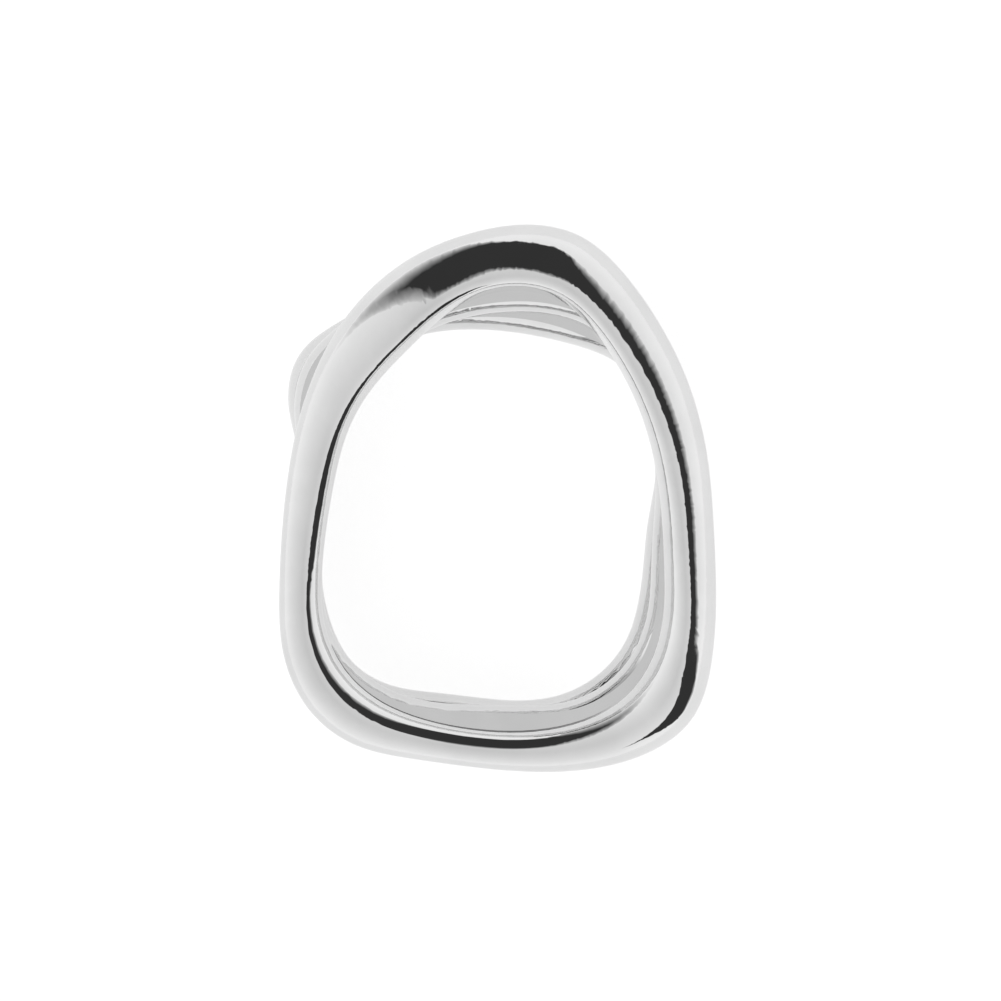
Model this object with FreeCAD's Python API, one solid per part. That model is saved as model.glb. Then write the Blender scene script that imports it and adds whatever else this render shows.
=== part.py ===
"""Finger puzzle ring: three curved metal bands stacked along the finger axis, turning on one hidden pin.

The ring lies on its rear band, with the finger hole upright along +Z. The origin is on the surface
that it lies on, in the middle of its outline. All lengths are in millimetres.
"""

import FreeCAD, Part
import math
import os

# Layers along the finger axis, from the surface up. Neighbouring bands never touch.
LAYER_GAP = 0.10
REAR_BOTTOM, REAR_TOP = 0.0, 2.7
MIDDLE_BOTTOM, MIDDLE_TOP = REAR_TOP + LAYER_GAP, 5.2
FRONT_BOTTOM = MIDDLE_TOP + LAYER_GAP

# Outlines seen along the finger axis: smooth closed curves through a few points (x, y), anticlockwise
# from the right-hand side.
FRONT_OUTSIDE = [
    (11.1, 0.0), (10.0, 5.6), (7.4, 10.5), (3.7, 13.8), (-0.5, 13.9), (-5.4, 11.8), (-9.3, 6.9), (-10.8, 1.5),
    (-11.3, -4.6), (-10.7, -9.4), (-8.2, -12.4), (-4.0, -13.6), (1.5, -14.2), (6.5, -13.7), (9.9, -11.7),
    (11.2, -7.6),
]
FRONT_INSIDE = [
    (8.4, 0.0), (7.6, 3.8), (5.8, 7.5), (2.8, 10.4), (-0.4, 10.6), (-4.4, 7.9), (-7.4, 4.2), (-8.6, 0.0),
    (-9.1, -4.6), (-8.6, -7.7), (-6.6, -10.2), (-2.5, -11.8), (2.5, -12.0), (6.2, -10.6), (8.2, -7.7),
    (8.6, -3.6),
]
MIDDLE_INSIDE = [
    (8.2, 0.0), (7.6, 4.7), (5.3, 8.5), (0.0, 9.6), (-4.8, 8.0), (-8.3, 3.2), (-9.1, -2.5), (-8.6, -7.0),
    (-5.6, -10.0), (0.0, -10.8), (4.6, -10.3), (7.4, -7.4), (8.0, -3.5),
]
REAR_INSIDE = [
    (8.1, 0.0), (8.2, 3.4), (6.8, 6.6), (3.6, 8.1), (-1.5, 8.8), (-5.3, 8.0), (-8.2, 4.6), (-9.2, -0.8),
    (-9.0, -5.6), (-7.1, -9.1), (-2.5, -10.3), (3.4, -10.3), (6.3, -8.2), (7.5, -4.7),
]

# Outside, the other two bands stay this far within the front band, apart from a lobe at one side, which
# stands out less on the middle band than on the rear one.
INSET = 0.5
LOBE_OUT = 1.8
LOBE_ANGLE_DEG = 147
LOBE_HALF_SPAN_DEG = 28
MIDDLE_LOBE_SHARE = 0.7
REAR_LOBE_SHARE = 1.0

# A length past every edge of the ring, for rays and cutting blocks.
PAST_ALL = 40

# Cross-sections are closed ovals in planes through +Z, cut flat where bands meet and where the ring lies.
SECTIONS = 30
SECTION_POINTS = 16
CROWN_POWER = 2.1
FLAT_BAND_POWER = 2.6
FLAT_TRIM = 0.30
FRONT_WIDEST_Z = 6.3
FRONT_ROUND_BELOW = 1.5

# The front band's crown: its rise per unit of width is greatest at the upper right, and it leans inwards,
# in half-widths, most at the top. Each value is (mean, swing, direction of the swing in degrees).
CROWN_RISE = (0.58, 0.15, 45)
CROWN_LEAN = (-0.26, -0.32, 80)

# Pivot pin, pressed into the front band and headed behind the rear band.
PIN_ANGLE_DEG = 306
PIN_RADIUS_FROM_ORIGIN = 13.1
PIN_R = 0.50
PIN_RUNNING_GAP = 0.05
PIN_DEPTH_IN_FRONT = 1.8
HEAD_R = 0.85
HEAD_THICKNESS = 0.50
HEAD_RECESS = 0.10
HEAD_GAP = 0.08


def interpolating_poles(points):
    """Poles of the closed uniform cubic spline that passes through the points."""
    count = len(points)
    poles = list(points)
    for _ in range(60):
        for i in range(count):
            neighbours = poles[i - 1] + poles[(i + 1) % count]
            poles[i] = (points[i] * 6 - neighbours) * 0.25
    return poles


def closed_tube(sections):
    """A solid whose smooth skin passes through every point of a closed row of closed sections."""
    along = [interpolating_poles(list(line)) for line in zip(*sections)]
    poles = [interpolating_poles(list(ring)) for ring in zip(*along)]
    rows, columns = len(poles), len(poles[0])
    skin = Part.BSplineSurface()
    skin.buildFromPolesMultsKnots(
        poles,
        [1] * (rows + 1),
        [1] * (columns + 1),
        [float(i) for i in range(rows + 1)],
        [float(j) for j in range(columns + 1)],
        True,
        True,
        3,
        3,
    )
    solid = Part.Solid(Part.Shell([skin.toShape()]))
    if solid.Volume < 0:
        solid.reverse()
    return solid


def outline(points):
    """The smooth closed curve through the points."""
    curve = Part.BSplineCurve()
    curve.interpolate(Points=[FreeCAD.Vector(x, y, 0) for x, y in points], PeriodicFlag=True)
    return curve.toShape()


def reach(edge, angle):
    """How far an outline lies from the origin in the direction of an angle in radians."""
    far = FreeCAD.Vector(PAST_ALL * math.cos(angle), PAST_ALL * math.sin(angle), 0)
    return edge.distToShape(Part.makeLine(FreeCAD.Vector(), far))[1][0][0].Length


def swinging(values, angle):
    """A value that swings once round the ring, from (mean, swing, direction)."""
    mean, swing, direction = values
    return mean + swing * math.cos(angle - math.radians(direction))


def lobe(angle):
    """How far a whole lobe stands out at an angle."""
    turn = (math.degrees(angle) - LOBE_ANGLE_DEG) / LOBE_HALF_SPAN_DEG
    return LOBE_OUT * math.cos(math.pi / 2 * turn) ** 2 if abs(turn) < 1 else 0


def section_angles():
    """The angles of the cross-sections, in radians."""
    return [2 * math.pi * i / SECTIONS for i in range(SECTIONS)]


def oval(angle, inner, outer, power, widest_z, rise, drop, lean=0):
    """A cross-section between two radii, widest at widest_z, with its crown moved lean half-widths."""
    outward = FreeCAD.Vector(math.cos(angle), math.sin(angle), 0)
    middle_r, half_width = (inner + outer) / 2, (outer - inner) / 2
    points = []
    for i in range(SECTION_POINTS):
        turn = 2 * math.pi * i / SECTION_POINTS
        c, s = math.cos(turn), math.sin(turn)
        across = math.copysign(abs(c) ** (2 / power), c)
        up = math.copysign(abs(s) ** (2 / power), s)
        across += lean * max(up, 0) * (1 - across * across)
        z = widest_z + (rise if up > 0 else drop) * up
        points.append(outward * (middle_r + half_width * across) + FreeCAD.Vector(0, 0, z))
    return points


def slab(bottom, top):
    """A block larger than the ring, between two heights."""
    corner = FreeCAD.Vector(-PAST_ALL, -PAST_ALL, bottom)
    return Part.makeBox(2 * PAST_ALL, 2 * PAST_ALL, top - bottom, corner)


def flat_band(inside_points, bottom, top, lobe_share):
    """A closed band behind the front one, flat below and above, with its share of the lobe."""
    inside, outside = outline(inside_points), outline(FRONT_OUTSIDE)
    middle_z, half_height = (bottom + top) / 2, (top - bottom) / 2 + FLAT_TRIM
    sections = []
    for angle in section_angles():
        outer = reach(outside, angle) - INSET + lobe_share * lobe(angle)
        inner = reach(inside, angle)
        sections.append(oval(angle, inner, outer, FLAT_BAND_POWER, middle_z, half_height, half_height))
    return closed_tube(sections).common(slab(bottom, top))


def crowned_band(bottom):
    """The front band: flat below, with a high round crown that leans over."""
    inside, outside = outline(FRONT_INSIDE), outline(FRONT_OUTSIDE)
    sections = []
    for angle in section_angles():
        inner, outer = reach(inside, angle), reach(outside, angle)
        rise = swinging(CROWN_RISE, angle) * (outer - inner)
        lean = swinging(CROWN_LEAN, angle)
        sections.append(oval(angle, inner, outer, CROWN_POWER, FRONT_WIDEST_Z, rise, FRONT_ROUND_BELOW, lean))
    return closed_tube(sections).common(slab(bottom, PAST_ALL))


def pin_cylinder(radius, bottom, top):
    """A cylinder on the pivot axis between two heights."""
    angle = math.radians(PIN_ANGLE_DEG)
    x, y = PIN_RADIUS_FROM_ORIGIN * math.cos(angle), PIN_RADIUS_FROM_ORIGIN * math.sin(angle)
    return Part.makeCylinder(radius, top - bottom, FreeCAD.Vector(x, y, bottom), FreeCAD.Vector(0, 0, 1))


def pivot_pin():
    """The pin: a shaft up into the front band, and a flat head in the rear band's counterbore."""
    shaft = pin_cylinder(PIN_R, HEAD_RECESS, FRONT_BOTTOM + PIN_DEPTH_IN_FRONT)
    head = pin_cylinder(HEAD_R, HEAD_RECESS, HEAD_RECESS + HEAD_THICKNESS)
    return shaft.fuse(head).removeSplitter()


def rear_band():
    """The band the ring lies on, counterbored for the pin's head."""
    solid = flat_band(REAR_INSIDE, REAR_BOTTOM, REAR_TOP, REAR_LOBE_SHARE)
    bore = pin_cylinder(PIN_R + PIN_RUNNING_GAP, REAR_BOTTOM - 1, REAR_TOP + 1)
    seat_top = HEAD_RECESS + HEAD_THICKNESS + HEAD_GAP
    counterbore = pin_cylinder(HEAD_R + PIN_RUNNING_GAP, REAR_BOTTOM - 1, seat_top)
    return solid.cut(bore).cut(counterbore)


def middle_band():
    """The band between the other two, bored for the pin."""
    solid = flat_band(MIDDLE_INSIDE, MIDDLE_BOTTOM, MIDDLE_TOP, MIDDLE_LOBE_SHARE)
    return solid.cut(pin_cylinder(PIN_R + PIN_RUNNING_GAP, MIDDLE_BOTTOM - 1, MIDDLE_TOP + 1))


def front_band():
    """The rounded face band, with a blind hole that holds the pin."""
    solid = crowned_band(FRONT_BOTTOM)
    return solid.cut(pin_cylinder(PIN_R, FRONT_BOTTOM - 1, FRONT_BOTTOM + PIN_DEPTH_IN_FRONT))


def main():
    """Builds every piece, reports it and writes one STEP file each."""
    os.makedirs("parts", exist_ok=True)
    pieces = {
        "front_band": front_band(),
        "middle_band": middle_band(),
        "rear_band": rear_band(),
        "pivot_pin": pivot_pin(),
    }
    for name, shape in pieces.items():
        box = shape.BoundBox
        print(name, "valid", shape.isValid(), "solids", len(shape.Solids), "volume", round(shape.Volume, 2))
        print("   x", round(box.XMin, 2), round(box.XMax, 2), "y", round(box.YMin, 2), round(box.YMax, 2))
        shape.exportStep(os.path.join("parts", name + ".step"))


main()
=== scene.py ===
"""Looks for the finger puzzle ring: mirror-polished bands in a white light tent."""

import math

import bpy
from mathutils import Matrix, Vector


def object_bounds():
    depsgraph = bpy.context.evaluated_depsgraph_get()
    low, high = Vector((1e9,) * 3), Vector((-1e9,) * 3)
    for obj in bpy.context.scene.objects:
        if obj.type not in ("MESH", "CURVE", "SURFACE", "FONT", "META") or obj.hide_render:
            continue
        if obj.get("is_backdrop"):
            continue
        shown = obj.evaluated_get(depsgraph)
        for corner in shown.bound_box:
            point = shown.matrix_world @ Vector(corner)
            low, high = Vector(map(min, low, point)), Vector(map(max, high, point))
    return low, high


MM = 0.001

# Camera: a long lens straight above the front band, with the ring's narrower top upwards in the frame.
SENSOR_MM = 36.0
CAMERA_DISTANCE = 0.40
FRAME_SIDE = 51.5 * MM
CAMERA_X, CAMERA_Y = 0.155 * MM, -0.155 * MM

# White floor: its size, and how brightly it glows to the camera and to the metal that mirrors it.
FLOOR_SIDE = 6.0
FLOOR_SEEN = 0.82
FLOOR_MIRRORED = 0.60

# Light tent: brightness overhead and at the sides, and one curved black flag. Each list below is a
# curve round the tent as (azimuth, value) pairs, all in degrees: the flag's near and far edge as zenith
# angles, how soft each edge is, and how ragged both are.
OVERHEAD_LIGHT = 0.64
SIDE_LIGHT = 0.95
FLAG_TONE = 0.035
FLAG_NEAR_EDGE = [(-180, 90), (-120, 90), (-90, 66), (-76, 55), (-60, 46), (-45, 38), (-30, 30), (0, 24),
                  (45, 18), (90, 12), (108, 14), (122, 24), (140, 50), (165, 88), (180, 90)]
FLAG_FAR_EDGE = [(-180, 70), (-120, 60), (-90, 58), (-76, 62), (-60, 76), (-45, 86), (-25, 88), (-8, 80),
                 (4, 52), (45, 56), (80, 66), (98, 72), (110, 88), (124, 90), (150, 88), (165, 76), (180, 70)]
FLAG_NEAR_SOFTNESS = [(-180, 1.5), (0, 1.5), (50, 2), (85, 8), (110, 10), (130, 30), (180, 30)]
FLAG_FAR_SOFTNESS = [(-180, 1.5), (-60, 1.5), (-20, 8), (45, 14), (80, 2), (95, 2), (115, 25), (180, 40)]
FLAG_RAGGEDNESS = [(-180, 0.3), (55, 0.3), (75, 3), (100, 3.5), (118, 0.3), (180, 0.3)]

# Metals: (tone, roughness, depth of the hairlines).
FRONT_METAL = (0.88, 0.035, 0.10)
INNER_METAL = (0.86, 0.06, 0.16)
PIN_METAL = (0.72, 0.18, 0.5)


def node_graph(owner):
    """Clears a material's or world's nodes and returns helpers to add nodes and links."""
    owner.use_nodes = True
    tree = owner.node_tree
    tree.nodes.clear()

    def add(kind, **settings):
        node = tree.nodes.new(kind)
        for key, value in settings.items():
            setattr(node, key, value)
        return node

    return tree, add, tree.links.new


def math_node(add, link, operation, first, second=None, clamp=False):
    """One Math node; each input is a number or a socket."""
    node = add("ShaderNodeMath", operation=operation, use_clamp=clamp)
    for socket, value in zip(node.inputs, (first, second)):
        if value is None:
            continue
        if isinstance(value, (int, float)):
            socket.default_value = value
        else:
            link(value, socket)
    return node.outputs[0]


def polished_metal(name, tone, roughness, mark_depth):
    """Bright polished metal with cloudy buffing and faint hairlines."""
    material = bpy.data.materials.new(name)
    tree, add, link = node_graph(material)
    place = add("ShaderNodeTexCoord")
    cloud = add("ShaderNodeTexNoise")
    cloud.inputs["Scale"].default_value = 350
    cloud.inputs["Detail"].default_value = 4
    link(place.outputs["Object"], cloud.inputs["Vector"])
    stretch = add("ShaderNodeMapping")
    stretch.inputs["Scale"].default_value = (1, 1, 9)
    stretch.inputs["Rotation"].default_value = (0.3, 0.2, 0.5)
    link(place.outputs["Object"], stretch.inputs["Vector"])
    hairline = add("ShaderNodeTexNoise")
    hairline.inputs["Scale"].default_value = 2600
    hairline.inputs["Detail"].default_value = 6
    link(stretch.outputs["Vector"], hairline.inputs["Vector"])
    colour = add("ShaderNodeValToRGB")
    colour.color_ramp.elements[0].position = 0.30
    colour.color_ramp.elements[0].color = (tone * 0.94, tone * 0.94, tone * 0.94, 1)
    colour.color_ramp.elements[1].position = 0.72
    colour.color_ramp.elements[1].color = (tone, tone, tone, 1)
    link(cloud.outputs["Fac"], colour.inputs["Fac"])
    rough = add("ShaderNodeMapRange")
    rough.inputs["From Min"].default_value = 0.3
    rough.inputs["From Max"].default_value = 0.7
    rough.inputs["To Min"].default_value = roughness * 0.7
    rough.inputs["To Max"].default_value = roughness * 1.4
    link(cloud.outputs["Fac"], rough.inputs["Value"])
    bump = add("ShaderNodeBump")
    bump.inputs["Strength"].default_value = mark_depth
    bump.inputs["Distance"].default_value = 0.002 * MM
    link(hairline.outputs["Fac"], bump.inputs["Height"])
    shader = add("ShaderNodeBsdfPrincipled")
    shader.inputs["Metallic"].default_value = 1.0
    link(colour.outputs["Color"], shader.inputs["Base Color"])
    link(rough.outputs["Result"], shader.inputs["Roughness"])
    link(bump.outputs["Normal"], shader.inputs["Normal"])
    output = add("ShaderNodeOutputMaterial")
    link(shader.outputs["BSDF"], output.inputs["Surface"])
    return material


def give_material(piece, material):
    """Puts one material on every face of a piece."""
    piece.data.materials.clear()
    piece.data.materials.append(material)


def pale_floor():
    """A plain white floor under the ring, big enough for every view."""
    bpy.ops.mesh.primitive_plane_add(size=FLOOR_SIDE, location=(0, 0, 0))
    floor = bpy.context.active_object
    floor.name = "floor"
    material = bpy.data.materials.new("floor_white")
    tree, add, link = node_graph(material)
    paint = add("ShaderNodeBsdfDiffuse")
    paint.inputs["Color"].default_value = (0.50, 0.50, 0.50, 1)
    path = add("ShaderNodeLightPath")
    strength = add("ShaderNodeMapRange")
    strength.inputs["To Min"].default_value = FLOOR_MIRRORED
    strength.inputs["To Max"].default_value = FLOOR_SEEN
    link(path.outputs["Is Camera Ray"], strength.inputs["Value"])
    glow = add("ShaderNodeEmission")
    glow.inputs["Color"].default_value = (1, 1, 1, 1)
    link(strength.outputs["Result"], glow.inputs["Strength"])
    both = add("ShaderNodeAddShader")
    link(paint.outputs["BSDF"], both.inputs[0])
    link(glow.outputs["Emission"], both.inputs[1])
    output = add("ShaderNodeOutputMaterial")
    link(both.outputs["Shader"], output.inputs["Surface"])
    give_material(floor, material)
    floor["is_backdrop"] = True


def float_curve(add, link, source, points):
    """A smooth curve through (x, y) points, both from 0 to 1, that never overshoots them."""
    node = add("ShaderNodeFloatCurve")
    curve = node.mapping.curves[0]
    curve.points[0].location = points[0]
    curve.points[1].location = points[-1]
    for point in points[1:-1]:
        curve.points.new(*point)
    for point in curve.points:
        point.handle_type = "AUTO_CLAMPED"
    node.mapping.update()
    link(source, node.inputs["Value"])
    return node.outputs["Value"]


def light_tent():
    """White tent light all round, with one curved black flag that gives the metal its dark lines.

    Directions are an azimuth about +Z from +X, and a zenith angle down from overhead.
    """
    world = bpy.data.worlds.new("light_tent")
    bpy.context.scene.world = world
    tree, add, link = node_graph(world)
    place = add("ShaderNodeTexCoord")
    split = add("ShaderNodeSeparateXYZ")
    link(place.outputs["Generated"], split.inputs[0])
    x, y, z = split.outputs
    azimuth = math_node(add, link, "ARCTAN2", y, x)
    turn = math_node(add, link, "MULTIPLY_ADD", azimuth, 1 / (2 * math.pi))
    turn.node.inputs[2].default_value = 0.5
    zenith = math_node(add, link, "ARCCOSINE", z)
    zenith = math_node(add, link, "DIVIDE", zenith, math.pi)

    def round_tent(degrees):
        points = [(azimuth / 360 + 0.5, value / 180) for azimuth, value in degrees]
        return float_curve(add, link, turn, points)

    ragged = add("ShaderNodeTexNoise")
    ragged.inputs["Scale"].default_value = 14
    ragged.inputs["Detail"].default_value = 5
    link(place.outputs["Generated"], ragged.inputs["Vector"])
    wander = math_node(add, link, "SUBTRACT", ragged.outputs["Fac"], 0.5)
    wander = math_node(add, link, "MULTIPLY", wander, round_tent(FLAG_RAGGEDNESS))
    zenith = math_node(add, link, "ADD", zenith, wander)

    past_near = math_node(add, link, "SUBTRACT", zenith, round_tent(FLAG_NEAR_EDGE))
    past_near = math_node(add, link, "DIVIDE", past_near, round_tent(FLAG_NEAR_SOFTNESS), clamp=True)
    past_near = math_node(add, link, "POWER", past_near, 0.6)
    before_far = math_node(add, link, "SUBTRACT", round_tent(FLAG_FAR_EDGE), zenith)
    before_far = math_node(add, link, "DIVIDE", before_far, round_tent(FLAG_FAR_SOFTNESS), clamp=True)
    before_far = math_node(add, link, "POWER", before_far, 0.6)
    dark = math_node(add, link, "MULTIPLY", past_near, before_far)

    tent = add("ShaderNodeValToRGB")
    ramp = tent.color_ramp
    ramp.elements[0].position, ramp.elements[1].position = 0.0, 1.0
    ramp.elements[0].color = (OVERHEAD_LIGHT, OVERHEAD_LIGHT, OVERHEAD_LIGHT, 1)
    ramp.elements[1].color = (SIDE_LIGHT, SIDE_LIGHT, SIDE_LIGHT, 1)
    middle = ramp.elements.new(0.45)
    middle.color = (SIDE_LIGHT, SIDE_LIGHT, SIDE_LIGHT, 1)
    link(zenith, tent.inputs["Fac"])

    tone = add("ShaderNodeMix", data_type="RGBA")
    link(tent.outputs["Color"], tone.inputs["A"])
    tone.inputs["B"].default_value = (FLAG_TONE, FLAG_TONE, FLAG_TONE, 1)
    link(dark, tone.inputs["Factor"])
    studio = add("ShaderNodeBackground")
    link(tone.outputs["Result"], studio.inputs["Color"])
    backdrop = add("ShaderNodeBackground")
    backdrop.inputs["Color"].default_value = (1, 1, 1, 1)
    path = add("ShaderNodeLightPath")
    seen = add("ShaderNodeMixShader")
    link(path.outputs["Is Camera Ray"], seen.inputs["Fac"])
    link(studio.outputs["Background"], seen.inputs[1])
    link(backdrop.outputs["Background"], seen.inputs[2])
    output = add("ShaderNodeOutputWorld")
    link(seen.outputs["Shader"], output.inputs["Surface"])


def camera():
    """The camera, straight above, with a lens that fits FRAME_SIDE across the sensor width."""
    data = bpy.data.cameras.new("camera")
    data.sensor_width = SENSOR_MM
    data.lens = SENSOR_MM * CAMERA_DISTANCE / FRAME_SIDE
    data.clip_start, data.clip_end = 0.01, 10
    rig = bpy.data.objects.new("camera", data)
    bpy.context.scene.collection.objects.link(rig)
    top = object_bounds()[1].z
    rig.location = Vector((CAMERA_X, CAMERA_Y, top + CAMERA_DISTANCE))
    bpy.context.scene.camera = rig


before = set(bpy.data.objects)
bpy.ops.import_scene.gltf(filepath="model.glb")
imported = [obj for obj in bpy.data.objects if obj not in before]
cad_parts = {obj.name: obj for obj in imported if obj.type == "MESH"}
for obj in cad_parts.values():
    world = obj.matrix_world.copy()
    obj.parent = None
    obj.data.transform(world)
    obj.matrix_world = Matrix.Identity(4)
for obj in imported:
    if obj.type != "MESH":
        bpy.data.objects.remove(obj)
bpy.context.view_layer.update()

front_metal = polished_metal("polished_metal", *FRONT_METAL)
inner_metal = polished_metal("polished_metal_inner", *INNER_METAL)
pin_metal = polished_metal("pin_metal", *PIN_METAL)
for node_name, node_metal in (
    ("front_band", front_metal),
    ("middle_band", inner_metal),
    ("rear_band", inner_metal),
    ("pivot_pin", pin_metal),
):
    give_material(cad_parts[node_name], node_metal)

pale_floor()
light_tent()
camera()
bpy.context.scene.view_settings.view_transform = "Standard"
